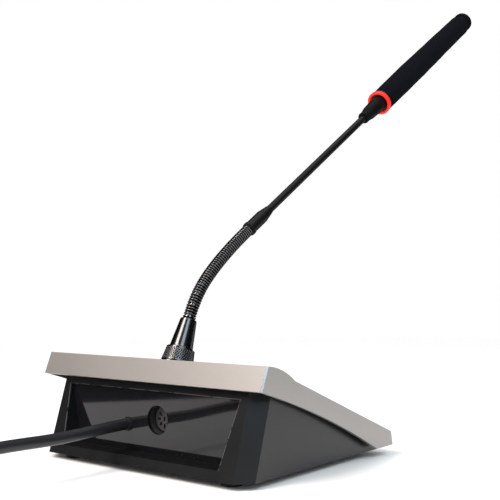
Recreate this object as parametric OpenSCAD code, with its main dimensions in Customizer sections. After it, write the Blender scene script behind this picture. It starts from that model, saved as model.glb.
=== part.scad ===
// Desktop conference microphone: a sloped table unit with a gooseneck microphone.
// The origin is on the table under the middle of the base. +X is to the speaker's
// right, +Y to the rear and +Z up. Lengths are in millimetres, angles in degrees.

/* [Cover] */
// Width of the metal cover
cover_w = 149.2; // [142:0.2:158]
// Slope of the cover's plate
plate_tilt = 22.5; // [20:0.5:25]
// Height of the plate's face above the middle of the base
plate_h = 34.4; // [33:0.2:38]
// Length of the plate from there up to the rear band
plate_rear = 49.4; // [47:0.2:54]
// Length of the plate from there down to the nose
plate_front = 59.2; // [57:0.2:63]
// Thickness of the cover
cover_wall = 2; // [1.5:0.1:2.4]
// Height of the rear band, square to the plate
band_h = 11.6; // [10.5:0.1:13]
// Rise of the side skirts' arched lower edge
skirt_rise = 2.3; // [1:0.1:4]
// Height of the cover's lower edge at the nose
nose_edge_h = 4.7; // [4:0.1:6]
// How far the nose leans out towards its lower edge
nose_lead = 1.4; // [0.5:0.1:3]
// Length of the swelling in front of the rear edge
swell_len = 21.4; // [18:0.2:24]
// Rise of the swelling
swell_rise = 1.6; // [0.8:0.1:2]
// Bevel of the cover's rear corners
corner_cut = 0.9; // [0.6:0.1:2]
// Diameter of the posts that take the case screws
post_d = 7; // [6:0.2:8]

/* [Base] */
// Gap between the base's sides and the cover's skirts
skirt_gap = 3; // [2:0.1:4]
// Gap between the base's front and the inside of the nose
nose_gap = 2.6; // [2:0.1:4]
// How far the base's rear foot stands behind the cover's rear band
rear_step = 5.9; // [4.5:0.1:7]
// Lean of the base's rear face
rear_lean = 17.6; // [15:0.2:20]
// Wall of the base
base_wall = 2.2; // [1.8:0.1:2.8]
// Thickness of the base's floor
base_floor = 2.2; // [1.8:0.1:3]
// Bevel of the base's rear corners
corner_bevel = 6.8; // [5:0.2:8]
// Height of the rubber feet
foot_h = 3; // [2:0.1:4]
// Diameter of the rubber feet
foot_d = 10; // [8:0.5:12]
// Thickness of the ballast plate
ballast_t = 3; // [2:0.1:3.6]
// Thread diameter of the case screws
case_screw_d = 3; // [2.5:0.1:3.5]

/* [Rear bay] */
// Height of the rail under the bay
rail_h = 4.6; // [3.5:0.1:6]
// Height of the bay's mouth
bay_h = 30.1; // [28:0.1:31]
// From the base's side to the bay's mouth, at its top
bay_top_side = 11.1; // [10.6:0.1:15]
// From the base's side to the bay's mouth, at its floor
bay_floor_side = 16.3; // [14:0.1:20]
// Depth of the bay at the top of its mouth
bay_lip = 1.4; // [1:0.1:2.5]
// Thickness of the rear panel
panel_t = 2; // [1.5:0.1:2.5]

/* [Rear socket] */
// Socket to the side of the middle
socket_x = -4.6; // [-20:0.2:-2]
// Height of the socket above the bay's floor
socket_rise = 16.1; // [14:0.1:18]
// Diameter of the panel's hole for a plug
socket_hole_d = 14; // [13.6:0.1:15]
// Depth of the insert's face behind the panel's face
socket_recess = 4.8; // [3:0.1:5.4]
// Diameter of the insert
insert_d = 11.9; // [11.4:0.1:12.2]
// Length of the socket's shell
socket_l = 12; // [10:0.5:14]
// Diameter of the ring of contacts
contact_ring_d = 7; // [6.4:0.1:7.4]
// Diameter of a contact
contact_d = 1.8; // [1.6:0.1:2]

/* [Lead] */
// Lead to the side of the middle
cord_x = 16.5; // [12:0.5:24]
// Height of the lead above the bay's floor
cord_rise = 12.4; // [10:0.1:16]
// Diameter of the lead
cord_d = 5.5; // [5:0.1:6.2]
// Diameter of the gland where it passes the panel
gland_d = 6.8; // [6.6:0.1:8.4]
// How far the gland's nose stands out of the panel
gland_nose = 1.6; // [1:0.1:4]
// Turns in each of the coil's two layers
coil_turns = 3.5; // [2.5:1:4.5]
// Distance between the coil's turns
coil_pitch = 6.5; // [6.5:0.1:7]
// Width of the coil at the middle of its turns
coil_d = 72; // [66:1:74]
// Thickness of the tie round the coil
tie_t = 0.6; // [0.4:0.1:0.8]
// Width of the tie
tie_w = 8; // [5:0.5:10]
// Diameter of the plug's body
plug_d = 17; // [16:0.2:18]
// Length of the plug's body
plug_l = 26; // [22:0.5:30]
// Outside diameter of the plug's shield
shield_d = 13.2; // [13:0.1:13.4]

/* [Loudspeaker and talk button] */
// Place of the loudspeaker's middle along the plate
speaker_v = -6; // [-7:0.5:-5]
// Outside diameter of the loudspeaker
speaker_d = 44; // [40:0.5:45]
// Depth of the loudspeaker's basket
basket_h = 6; // [5:0.1:6.5]
// Width of a slot in front of the loudspeaker
slot_w = 2.2; // [1.4:0.1:2.6]
// Place of the talk button along the plate
talk_v = -38; // [-39:0.2:-37.6]
// Length of the talk button
talk_l = 34; // [28:0.5:38]
// Width of the talk button
talk_w = 11; // [9:0.2:12]
// How far the talk button stands out
talk_out = 1.6; // [1.4:0.1:2.4]
// Depth of the switch board under the plate's face
switch_depth = 9.6; // [9:0.1:10.4]

/* [Microphone] */
// Place of the microphone along the plate
mic_v = 28.9; // [28:0.1:30]
// Height of the lock sleeve's top above the plate's face
sleeve_top = 27.1; // [25:0.1:30]
// Height where the knurled ring ends and the cone begins
knurl_top = 11.6; // [11.2:0.1:13]
// Diameter of the knurled ring at its foot
knurl_foot_d = 16.7; // [16:0.1:18]
// Diameter of the knurled ring at its top
knurl_top_d = 14.4; // [14:0.1:15.4]
// Diameter of the cone at its foot
cone_foot_d = 12; // [10:0.1:13]
// Diameter of the cone at its top
cone_top_d = 8.4; // [8:0.1:9]
// Thread diameter of the microphone's socket
thread_d = 13; // [12.4:0.1:13.4]
// Diameter over the gooseneck's ribs
neck_d = 6.76; // [6.4:0.02:6.9]
// Distance between the gooseneck's ribs
rib_pitch = 1.5; // [1.48:0.01:1.7]
// Diameter of the ferrule
ferrule_d = 7.3; // [6.8:0.1:8]
// Length of the ferrule
ferrule_l = 22.5; // [18:0.5:26]
// Diameter of the thin stem
stem_d = 4.5; // [4:0.1:4.8]
// Length of the thin stem between ferrule and head
stem_show = 119.5; // [80:0.5:150]
// Length of the head's cone
head_cone_l = 23; // [20:0.5:36]
// Diameter of the head's cone at its wide end
head_cone_d = 10.8; // [10.2:0.1:11.4]
// Outside diameter of the light ring
ring_d = 16.2; // [15.6:0.1:18]
// Height of the light ring
ring_h = 2.8; // [2:0.1:4]
// Diameter of the foam windscreen at its foot
foam_d = 16; // [14.6:0.1:17]
// Diameter of the foam windscreen at its end
foam_end_d = 15.2; // [14:0.1:16.4]
// Length of the foam windscreen
foam_l = 138.7; // [90:0.1:150]
// Outside diameter of the tube under the foam
head_tube_d = 10.8; // [10.4:0.1:11.4]
// Diameter of the end cap
cap_d = 14.4; // [12.6:0.1:14.8]

/* [Hidden] */
$fn = 64;

// Clearances
loose = 0.3;
slip = 0.1;
snug = 0.05;

// Places on the plate: v runs up the slope, w stands out square to it
function plate_pt(v, w) = [
    0,
    v * cos(plate_tilt) - w * sin(plate_tilt),
    plate_h + v * sin(plate_tilt) + w * cos(plate_tilt)
];
function to_plate(y, z) = [
    y * cos(plate_tilt) + (z - plate_h) * sin(plate_tilt),
    (z - plate_h) * cos(plate_tilt) - y * sin(plate_tilt)
];

// Cover
nose_top = plate_pt(-plate_front, 0);
nose_foot = to_plate(nose_top[1] - nose_lead, nose_edge_h);
nose_wall = 1.2 * cover_wall;
edge_v = (nose_edge_h - plate_h + band_h * cos(plate_tilt)) / sin(plate_tilt);
arch_half = (plate_rear - edge_v) / 2;
arch_r = (pow(arch_half, 2) + pow(skirt_rise, 2)) / (2 * skirt_rise);
swell_mid = plate_rear - swell_len / 2;
swell_r = (pow(swell_len / 2, 2) + pow(swell_rise, 2)) / (2 * swell_rise);
seat_proud = 0.4;
seat_w = swell_rise + seat_proud;
seat_d = 22;

// Base
base_w = cover_w - 2 * (cover_wall + skirt_gap);
base_rear = plate_pt(plate_rear, -band_h)[1] + rear_step;
base_front = nose_top[1] + cover_wall + nose_gap;
floor_z = foot_h + base_floor;
roof_z0 = plate_h - cover_wall / cos(plate_tilt);
function roof_z(y) = roof_z0 + y * tan(plate_tilt);
function rear_y(z) = base_rear - (z - foot_h) * tan(rear_lean);
function rear_inside_y(z) = rear_y(z) - base_wall / cos(rear_lean);
rim_rear_y = (base_rear - (roof_z0 - foot_h) * tan(rear_lean)) / (1 + tan(rear_lean) * tan(plate_tilt));
bay_floor_z = foot_h + rail_h;
bay_top_z = bay_floor_z + bay_h;
panel_y = rear_y(bay_top_z) - bay_lip;
bay_top_w = base_w - 2 * bay_top_side;
bay_floor_w = base_w - 2 * bay_floor_side;
panel_lap = 2;
panel_top_lap = 1.4;
panel_w = bay_top_w + 2 * panel_lap;
panel_top_z = bay_top_z + panel_top_lap;
knee_z = foot_h + (base_rear - base_wall / cos(rear_lean) - panel_y) / tan(rear_lean);
over_z = plate_h + plate_rear;

// Case screws, posts and feet
boss_d = 9;
boss_h = 2.8;
boss_top_z = floor_z + boss_h;
screw_head_d = 2 * case_screw_d;
screw_head_h = 2;
screw_head_z = foot_h + loose;
screw_seat_z = screw_head_z + screw_head_h;
screw_l = 10;
thread_depth = 0.4;
screw_inset = 7.4;
screw_rear_inset = 8.6;
screw_front_inset = 13.8;
screw_x = base_w / 2 - base_wall - screw_inset;
screw_ys = [panel_y - panel_t - screw_rear_inset, base_front + base_wall + screw_front_inset];
foot_inset = 15.6;
foot_rear_inset = 10;
foot_front_inset = 6.5;
foot_x = base_w / 2 - foot_inset;
foot_ys = [base_rear - foot_rear_inset, base_front + foot_front_inset];

// Boards and ballast
board_w = 96;
board_d = 46;
board_gap = 13.6;
board_y = panel_y - panel_t - board_gap - board_d / 2;
board_t = 1.6;
board_lift = 5.2;
board_z = floor_z + board_lift;
board_post_d = 6;
board_hole_side = 5;
board_hole_end = 4;
board_hole_x = board_w / 2 - board_hole_side;
board_hole_y = board_d / 2 - board_hole_end;
board_screw_d = 2;
board_screw_head_d = 4.4;
board_screw_head_h = 1.4;
chip_w = 10;
chip_h = 1.5;
header_l = 14;
header_w = 7;
header_h = 4;
driver_l = 8;
driver_w = 5;
driver_h = 1.8;
can_d = 5;
can_h = 6;
can_step = 7;
ballast_margin = 4;
ballast_front = 10;
ballast_rear = 6;
ballast_w = board_w + 2 * ballast_margin;
ballast_d = board_d + ballast_front + ballast_rear;
ballast_y = board_y + (ballast_rear - ballast_front) / 2;

// Rear socket and lead
socket_z = bay_floor_z + socket_rise;
socket_wall = 1.2;
socket_step = 0.2;
socket_bore_d = socket_hole_d - 2 * socket_step;
socket_shell_d = socket_bore_d + 2 * socket_wall;
socket_back = 1.6;
mouth_l = 2.4;
mouth_w = 1.3;
mouth_depth = 1.2;
contact_tail = 4;
cord_z = bay_floor_z + cord_rise;
gland_flange_d = gland_d + 3.4;
gland_flange_h = 2;
gland_tail_h = 6;
plug_z = plug_d / 2;
coil_low_z = cord_d / 2 + tie_t + loose;
coil_high_z = coil_low_z + coil_pitch;
coil_out_r = coil_d / 2 + coil_turns * coil_pitch / 2;
coil_in_r = coil_d / 2 - coil_turns * coil_pitch / 2;
coil_dip = 1.5;
coil_x = cord_x + coil_out_r;
coil_y = 325;
cord_sag = 1.1;
cord_sag_y = 130;
cord_fall_y = 100;
cord_land_y = coil_y - cord_d;
cord_steps = 24;
tail_drop = 24;
boot_l = 22;
boot_d = 11;
boot_tip_d = cord_d + 1.2;
plug_start = [coil_x + coil_out_r, coil_y - 2 * cord_d - tail_drop, plug_z];

// Loudspeaker and talk button
cloth_t = 0.4;
cloth_w = -cover_wall;
rim_w = cloth_w - cloth_t;
basket_floor_w = rim_w - basket_h;
rim_t = 1.2;
cone_r = speaker_d / 2 - 3;
magnet_d = 20;
magnet_h = 5;
slot_pitch = 2 * slot_w;
slot_count = 4;
slot_field_r = cone_r;
talk_gap = 0.3;
talk_flange = 1.6;
talk_flange_h = 1.2;
talk_travel = 1.2;
talk_under_w = -cover_wall - loose - talk_flange_h;
switch_w = 6.5;
switch_h = 3.4;
plunger_d = 3.2;
switch_board_t = 1.6;
switch_board_l = 54;
switch_board_d = 15;
switch_post_d = 5;
switch_post_x = switch_board_l / 2 - 3;

// Microphone foot
socket_flange_h = 1.4;
thread_top = 8;
thread_foot = -8;
mic_bore_d = 9.6;
nut_h = 3;
nut_d = thread_d + 5;
collar_d = thread_d - 0.8;
collar_h = 1.8;
pin_ring_d = 5;
pin_d = 1.2;
pin_l = 6;
insert_top = -0.6;
sleeve_foot = seat_w + socket_flange_h + loose;
sleeve_bore_d = thread_d + 2 * loose;
chamber_top = thread_top + collar_h + loose;

// Gooseneck, as links joined at ball pivots
link_ribs = 4;
link_l = link_ribs * rib_pitch;
link_gap = 0.4;
ball_clear = 0.08;
rib_rise = 0.3;
ball_wall = 0.6;
core_r = neck_d / 2 - rib_rise;
ball_r = core_r - ball_wall;
rib_top = 0.5;
rib_foot = 0.68;
wire_d = 1.6;
pivot_rise = 2;
neck_links = 11;
// Bend at each pivot at rest, from the foot up
neck_bends = [4, 5, 6, 6, 3.5, 2.7, 1.8, 1.5, 1.5, 1.2, 0.9, 0.5];
function bend_to(k) = k < 0 ? 0 : neck_bends[k] + bend_to(k - 1);
function neck_angle(k) = plate_tilt + bend_to(k);
function along(angle, s) = [0, -s * sin(angle), s * cos(angle)];
function pivot(k) = k == 0 ? plate_pt(mic_v, sleeve_top + pivot_rise)
                           : pivot(k - 1) + along(neck_angle(k - 1), link_l);

// Head, measured along its axis from the last pivot
flange_d = ferrule_d + 0.7;
flange_foot = 1;
flange_top = 2.8;
ferrule_taper = 6.8;
stem_lap = 10;
stem_bore_d = 2.8;
cone_foot = ferrule_l + stem_show;
lip_h = 1.5;
lip_d = 7.6;
cone_small_d = 7;
cone_waist_d = head_cone_d - 1.6;
cone_waist_l = 7;
cone_seat = 6;
cone_end = cone_foot + head_cone_l;
ring_lap = 0.4;
ring_gap = 1.05;
ring_foot = cone_end - ring_lap;
ring_bore_d = head_cone_d + 2 * ring_gap;
ring_top = ring_foot + ring_h;
light_board_t = 0.8;
tube_flange_t = 1.2;
tube_foot = ring_top + light_board_t;
tube_wall = 0.45;
tube_bore_d = head_tube_d - 2 * tube_wall;
spigot_d = tube_bore_d - 2 * snug;
spigot_lap = 4;
spigot_end = tube_foot + tube_flange_t + spigot_lap;
foam_foot = tube_foot + tube_flange_t + loose;
foam_end = foam_foot + foam_l;
foam_gap = 0.2;
foam_bore_d = head_tube_d + 2 * foam_gap;
foam_edge = 1;
tube_end = foam_end + loose;
capsule_h = 8;
cap_neck_d = 11.4;
cap_neck_h = 3.6;
cap_h = 3.2;
cap_spigot_h = 6;
slot_l = 14;
slot_rows = 5;
slot_first = 16;

// Frames of reference
module on_plate(v = 0, w = 0) {
    translate([0, 0, plate_h]) rotate([plate_tilt, 0, 0]) translate([0, v, w]) children();
}
module on_rear() {
    translate([0, base_rear, foot_h]) rotate([rear_lean, 0, 0]) children();
}
module on_panel(x, z) {
    translate([x, panel_y, z]) rotate([-90, 0, 0]) children();
}
module on_plug() {
    translate(plug_start) rotate([90, 0, 0]) children();
}
module on_head() {
    translate(pivot(neck_links)) rotate([neck_angle(neck_links), 0, 0]) children();
}

// Shared shapes
module across(width) {
    rotate([90, 0, 90]) linear_extrude(height = width, center = true) children();
}
module barrel(d, from, to) {
    translate([0, 0, from]) cylinder(d = d, h = to - from);
}
module taper(d1, d2, from, to) {
    translate([0, 0, from]) cylinder(d1 = d1, d2 = d2, h = to - from);
}
module oblong(l, w) {
    square([l - w, w], center = true);
    for (s = [-1, 1]) translate([s * (l - w) / 2, 0]) circle(d = w);
}
module at_corners(x, ys) {
    for (sx = [-1, 1], y = ys) translate([sx * x, y, 0]) children();
}
module board_places() {
    for (sx = [-1, 1], sy = [-1, 1]) translate([sx * board_hole_x, board_y + sy * board_hole_y, 0]) children();
}
// Eight poles: one in the middle and seven round it
module pole_places() {
    children();
    for (i = [0:6]) rotate([0, 0, -131 + i * 131 / 3]) translate([0, contact_ring_d / 2, 0]) children();
}
module pin_places() {
    for (i = [0:2]) rotate([0, 0, i * 120]) translate([0, pin_ring_d / 2, 0]) children();
}

// A tube of flat sides swept along a path
function unit(v) = v / norm(v);
function heading(path, i) = unit(path[min(i + 1, len(path) - 1)] - path[max(i - 1, 0)]);
function ring(path, i, r, sides) =
    let (t = heading(path, i), s = unit(cross(t, [0, 0, 1])), u = cross(s, t))
    [for (j = [0:sides - 1]) path[i] + r * (cos(360 * j / sides) * s + sin(360 * j / sides) * u)];
module swept(path, d, sides) {
    last = (len(path) - 1) * sides;
    points = [for (i = [0:len(path) - 1]) each ring(path, i, d / 2, sides)];
    skin = [for (i = [0:len(path) - 2], j = [0:sides - 1])
        let (a = i * sides + j, b = i * sides + (j + 1) % sides)
        each [[a, b, a + sides], [b, b + sides, a + sides]]];
    caps = [for (j = [1:sides - 2]) each [[0, j + 1, j], [last, last + j, last + j + 1]]];
    polyhedron(points, concat(skin, caps));
}

// The lead's route: straight out of the gland, then down to the coil
function ease(x) = x * x * (3 - 2 * x);
function route_y(i) = panel_y + gland_nose + (coil_y - 4 - panel_y - gland_nose) * i / cord_steps;
function route_fall(y) = ease(min(max((y - cord_fall_y) / (cord_land_y - cord_fall_y), 0), 1));
function route_sag(y) = cord_sag * pow(sin(180 * min((y - route_y(0)) / (cord_sag_y - route_y(0)), 1)), 2);
function route_z(y) = cord_z - route_sag(y) - (cord_z - coil_low_z) * route_fall(y);
cord_route = [for (i = [0:cord_steps]) [cord_x, route_y(i), route_z(route_y(i))]];

// The coil's path: in along the lower layer, up in half a turn, out along the upper one
rings_a_turn = 24;
function coil_r(u) =
    u <= coil_turns ? coil_out_r - coil_pitch * u :
    u <= coil_turns + 0.5 ? coil_in_r - coil_dip * sin(360 * (u - coil_turns)) :
    coil_in_r + coil_pitch * (u - coil_turns - 0.5);
function coil_z(u) =
    coil_low_z + coil_pitch * ease(min(max(2 * (u - coil_turns), 0), 1));
function coil_point(u) = [
    coil_x + coil_r(u) * cos(180 - 360 * u),
    coil_y + coil_r(u) * sin(180 - 360 * u),
    coil_z(u)
];
coil_steps = (2 * coil_turns + 0.5) * rings_a_turn;
coil_tail = [for (s = [0:4]) [
    plug_start[0],
    coil_y - cord_d - tail_drop * s / 4,
    coil_high_z + (plug_z - coil_high_z) * ease(s / 4)
]];
coil_path = concat(
    [[cord_x, coil_y - 4, coil_low_z]],
    [for (i = [0:coil_steps]) coil_point(i / rings_a_turn)],
    coil_tail,
    [plug_start]
);
// Least gap between turns, between points at least half a turn apart along the coil
coil_gap = min([for (i = [0:len(coil_path) - 1], j = [i + rings_a_turn / 2:1:len(coil_path) - 1])
    norm(coil_path[i] - coil_path[j])]) - cord_d;
echo(str("least gap between the coil's turns: ", coil_gap, " mm"));

// Case
module cover_outline() {
    difference() {
        union() {
            polygon([
                [-plate_front, 0], [plate_rear, 0], [plate_rear, -band_h], [edge_v, -band_h], nose_foot
            ]);
            intersection() {
                translate([swell_mid, swell_rise - swell_r]) circle(r = swell_r, $fn = 180);
                translate([swell_mid - swell_len / 2, -cover_wall / 2]) square([swell_len, 2 * swell_rise + cover_wall]);
            }
        }
        translate([edge_v + arch_half, skirt_rise - band_h - arch_r]) circle(r = arch_r, $fn = 720);
    }
}
module cover_hollow() {
    fall = nose_foot - [-plate_front, 0];
    across(cover_w - 2 * cover_wall) polygon([
        [-plate_front + nose_wall, -cover_wall],
        [plate_rear - cover_wall, -cover_wall],
        [plate_rear - cover_wall, -plate_h],
        [nose_foot[0] + nose_wall + fall[0], nose_foot[1] + fall[1]]
    ]);
}
module cover_plan() {
    x = cover_w / 2;
    polygon([
        [-x, -2 * plate_front], [x, -2 * plate_front], [x, plate_rear - corner_cut],
        [x - corner_cut, plate_rear], [corner_cut - x, plate_rear], [-x, plate_rear - corner_cut]
    ]);
}
module speaker_slots() {
    for (i = [-slot_count:slot_count])
        let (x = i * slot_pitch, l = 2 * sqrt(pow(slot_field_r, 2) - pow(x, 2)))
        translate([x, speaker_v]) rotate(90) oblong(l - slot_w, slot_w);
}
module top_cover() color("lightgray") difference() {
    union() {
        on_plate() difference() {
            intersection() {
                across(cover_w) cover_outline();
                translate([0, 0, -2 * plate_h]) linear_extrude(height = 3 * plate_h) cover_plan();
            }
            cover_hollow();
        }
        on_plate(mic_v) barrel(seat_d, -cover_wall, seat_w);
        on_plate(talk_v) for (s = [-1, 1]) translate([s * switch_post_x, 0, 0])
            barrel(switch_post_d, -switch_depth, -cover_wall / 2);
        intersection() {
            at_corners(screw_x, screw_ys) barrel(post_d, boss_top_z, over_z);
            on_plate(0, -plate_h - cover_wall / 2) cube([cover_w, 3 * plate_rear, 2 * plate_h], center = true);
        }
    }
    on_plate(mic_v) barrel(thread_d + 2 * slip, -2 * cover_wall, 2 * seat_w);
    on_plate(0, -2 * cover_wall) linear_extrude(height = 4 * cover_wall) {
        speaker_slots();
        translate([0, talk_v]) oblong(talk_l + 2 * talk_gap, talk_w + 2 * talk_gap);
    }
    at_corners(screw_x, screw_ys) barrel(case_screw_d - thread_depth, boss_top_z - cover_wall, boss_top_z + screw_l);
}
module rear_bevels(b) {
    for (s = [-1, 1]) on_rear() translate([s * base_w / 2, 0, 0]) rotate([0, 0, 45])
        cube([b * sqrt(2), b * sqrt(2), 4 * plate_rear], center = true);
}
module base_shell() color("dimgray") difference() {
    union() {
        difference() {
            across(base_w) polygon([
                [base_front, foot_h], [base_rear, foot_h],
                [rim_rear_y, roof_z(rim_rear_y)], [base_front, roof_z(base_front)]
            ]);
            rear_bevels(corner_bevel);
            difference() {
                across(base_w - 2 * base_wall) polygon([
                    [base_front + base_wall, floor_z], [panel_y, floor_z], [panel_y, knee_z],
                    [rear_inside_y(over_z), over_z], [base_front + base_wall, over_z]
                ]);
                rear_bevels(corner_bevel + base_wall * sqrt(2));
            }
        }
        at_corners(screw_x, screw_ys) barrel(boss_d, foot_h, boss_top_z);
        board_places() barrel(board_post_d, foot_h, board_z);
    }
    translate([0, base_rear + 1, 0]) rotate([90, 0, 0]) linear_extrude(height = base_rear + 1 - panel_y) polygon([
        [-bay_floor_w / 2, bay_floor_z], [bay_floor_w / 2, bay_floor_z],
        [bay_top_w / 2, bay_top_z], [-bay_top_w / 2, bay_top_z]
    ]);
    translate([-panel_w / 2, panel_y - panel_t, floor_z]) cube([panel_w, panel_t, panel_top_z - floor_z]);
    at_corners(screw_x, screw_ys) {
        barrel(screw_head_d + 2 * loose, 0, screw_seat_z);
        barrel(case_screw_d + 2 * slip, 0, 2 * boss_top_z);
    }
    board_places() barrel(board_screw_d + 2 * snug, floor_z + thread_depth, 2 * board_z);
}
module rear_panel() color("black") difference() {
    translate([-panel_w / 2, panel_y - panel_t, floor_z]) cube([panel_w, panel_t, panel_top_z - floor_z]);
    on_panel(socket_x, socket_z) barrel(socket_hole_d, -2 * panel_t, panel_t);
    on_panel(cord_x, cord_z) barrel(gland_d + 2 * slip, -2 * panel_t, panel_t);
}
module ballast_plate() color("slategray") difference() {
    translate([-ballast_w / 2, ballast_y - ballast_d / 2, floor_z]) cube([ballast_w, ballast_d, ballast_t]);
    board_places() barrel(board_post_d + 2 * loose, foot_h, 2 * board_z);
}
module rubber_feet() color("black") at_corners(foot_x, foot_ys) barrel(foot_d, 0, foot_h);
module case_screws() color("gray") at_corners(screw_x, screw_ys) {
    barrel(screw_head_d, screw_head_z, screw_seat_z);
    barrel(case_screw_d - thread_depth - 2 * snug, screw_seat_z, boss_top_z + screw_l - thread_depth);
}

// Boards
module main_board() color("darkgreen") difference() {
    translate([-board_w / 2, board_y - board_d / 2, board_z]) cube([board_w, board_d, board_t]);
    board_places() barrel(board_screw_d + 2 * slip, 0, 2 * board_z);
}
module board_parts() color("black") translate([0, board_y, board_z + board_t]) {
    translate([board_w / 4 - chip_w / 4, board_d / 8, 0]) cube([chip_w, chip_w, chip_h]);
    translate([-board_w / 3, -board_d / 3, 0]) cube([header_l, header_w, header_h]);
    translate([-board_w / 3, board_d / 12, 0]) cube([driver_l, driver_w, driver_h]);
    for (i = [0:2]) translate([board_w / 4 + can_step * i, -board_d / 4, 0]) cylinder(d = can_d, h = can_h);
}
module board_screws() color("silver") board_places() {
    barrel(board_screw_head_d, board_z + board_t, board_z + board_t + board_screw_head_h);
    barrel(board_screw_d, floor_z + 2 * thread_depth, board_z + board_t);
}

// Rear socket
module socket_shell() color("silver") on_panel(socket_x, socket_z) difference() {
    barrel(socket_shell_d, -panel_t - socket_l, -panel_t);
    barrel(socket_bore_d, -panel_t - 2 * socket_l, 0);
}
module socket_insert() color("black") on_panel(socket_x, socket_z) difference() {
    union() {
        barrel(insert_d, -panel_t - socket_l, -socket_recess);
        barrel(socket_shell_d, -panel_t - socket_l - socket_back, -panel_t - socket_l);
    }
    pole_places() {
        barrel(contact_d + 2 * snug, -panel_t - 2 * socket_l, -socket_recess - mouth_depth);
        translate([0, 0, -socket_recess - mouth_depth]) linear_extrude(height = 2 * mouth_depth)
            rotate(90) oblong(mouth_l, mouth_w);
    }
}
module socket_contacts() color("gold") on_panel(socket_x, socket_z) pole_places() difference() {
    barrel(contact_d, -panel_t - socket_l - socket_back - contact_tail, -socket_recess - mouth_depth - loose);
    barrel(contact_d - 0.5, -panel_t - socket_l, 0);
}

// Lead
module cable_gland() color("black") on_panel(cord_x, cord_z) {
    barrel(gland_d, -panel_t, 0);
    taper(gland_d, gland_d - 0.4, 0, gland_nose);
    barrel(gland_flange_d, -panel_t - gland_flange_h, -panel_t);
    barrel(gland_d + 0.8, -panel_t - gland_flange_h - gland_tail_h, -panel_t - gland_flange_h);
}
module cord() color("black") swept(cord_route, cord_d, 10);
module cord_coil() color("black") swept(coil_path, cord_d, 6);
module cord_tie() color("black") {
    inside_r = coil_in_r - cord_d / 2 - 1.4;
    outside_r = coil_out_r + cord_d / 2 + 0.6;
    inside_h = coil_high_z + cord_d / 2 + loose;
    translate([coil_x, coil_y, 0]) rotate([0, 0, 45]) translate([0, -tie_w / 2, 0]) difference() {
        translate([inside_r - tie_t, 0, 0])
            cube([outside_r - inside_r + 2 * tie_t, tie_w, inside_h + tie_t]);
        translate([inside_r, -1, tie_t]) cube([outside_r - inside_r, tie_w + 2, inside_h - tie_t]);
    }
}
module plug_body() color("black") on_plug() difference() {
    union() {
        taper(boot_tip_d, boot_d, 0, boot_l);
        barrel(plug_d, boot_l, boot_l + plug_l);
    }
    barrel(shield_d, boot_l + 8, boot_l + 2 * plug_l);
}
module plug_shield() color("silver") on_plug() difference() {
    barrel(shield_d, boot_l + 8, boot_l + plug_l + 9);
    barrel(shield_d - 0.8, 0, boot_l + 2 * plug_l);
}
module plug_insert() color("black") on_plug() difference() {
    barrel(shield_d - 0.8, boot_l + 8, boot_l + plug_l + 1.5);
    pole_places() barrel(contact_d - 0.5, boot_l + 14, boot_l + 2 * plug_l);
}
module plug_pins() color("gold") on_plug() pole_places()
    barrel(contact_d - 0.6, boot_l + 14, boot_l + plug_l + 8);

// Loudspeaker
module speaker_cloth() color("black") on_plate(speaker_v) barrel(speaker_d, rim_w, cloth_w);
module speaker_basket() color("dimgray") on_plate(speaker_v) difference() {
    union() {
        barrel(speaker_d, rim_w - rim_t, rim_w);
        taper(magnet_d + 2, 2 * cone_r + 2, basket_floor_w, rim_w - rim_t);
    }
    taper(magnet_d - 1, 2 * cone_r, basket_floor_w + rim_t, rim_w - rim_t);
    barrel(2 * cone_r, rim_w - rim_t, 0);
    barrel(magnet_d / 2, 2 * basket_floor_w, 0);
}
module speaker_cone() color("black") on_plate(speaker_v) rotate_extrude() polygon([
    [0, basket_floor_w + 2.4], [magnet_d / 4 - 0.4, basket_floor_w + rim_t],
    [magnet_d / 4, basket_floor_w + rim_t], [cone_r - 0.6, rim_w - 1.1], [cone_r - snug, rim_w - 1.1],
    [cone_r - snug, rim_w - 0.6], [cone_r - 1, rim_w - 0.6], [magnet_d / 4, basket_floor_w + 2],
    [0, basket_floor_w + 3]
]);
module speaker_magnet() color("slategray") on_plate(speaker_v)
    barrel(magnet_d, basket_floor_w - magnet_h, basket_floor_w);

// Talk button
module talk_button() color("darkslategray") on_plate(talk_v) {
    translate([0, 0, talk_under_w]) linear_extrude(height = talk_out - talk_under_w) oblong(talk_l, talk_w);
    translate([0, 0, talk_under_w]) linear_extrude(height = talk_flange_h)
        oblong(talk_l + 2 * talk_flange, talk_w + 2 * talk_flange);
}
module switch_plunger() color("ivory") on_plate(talk_v)
    barrel(plunger_d, -switch_depth + 0.6 + talk_travel, talk_under_w);
module talk_switch() color("black") on_plate(talk_v) difference() {
    translate([-switch_w / 2, -switch_w / 2, -switch_depth]) cube([switch_w, switch_w, switch_h]);
    barrel(plunger_d + 2 * slip, -switch_depth + 0.5, 0);
}
module switch_board() color("darkgreen") on_plate(talk_v)
    translate([-switch_board_l / 2, -switch_board_d / 2, -switch_depth - switch_board_t])
    cube([switch_board_l, switch_board_d, switch_board_t]);

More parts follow.
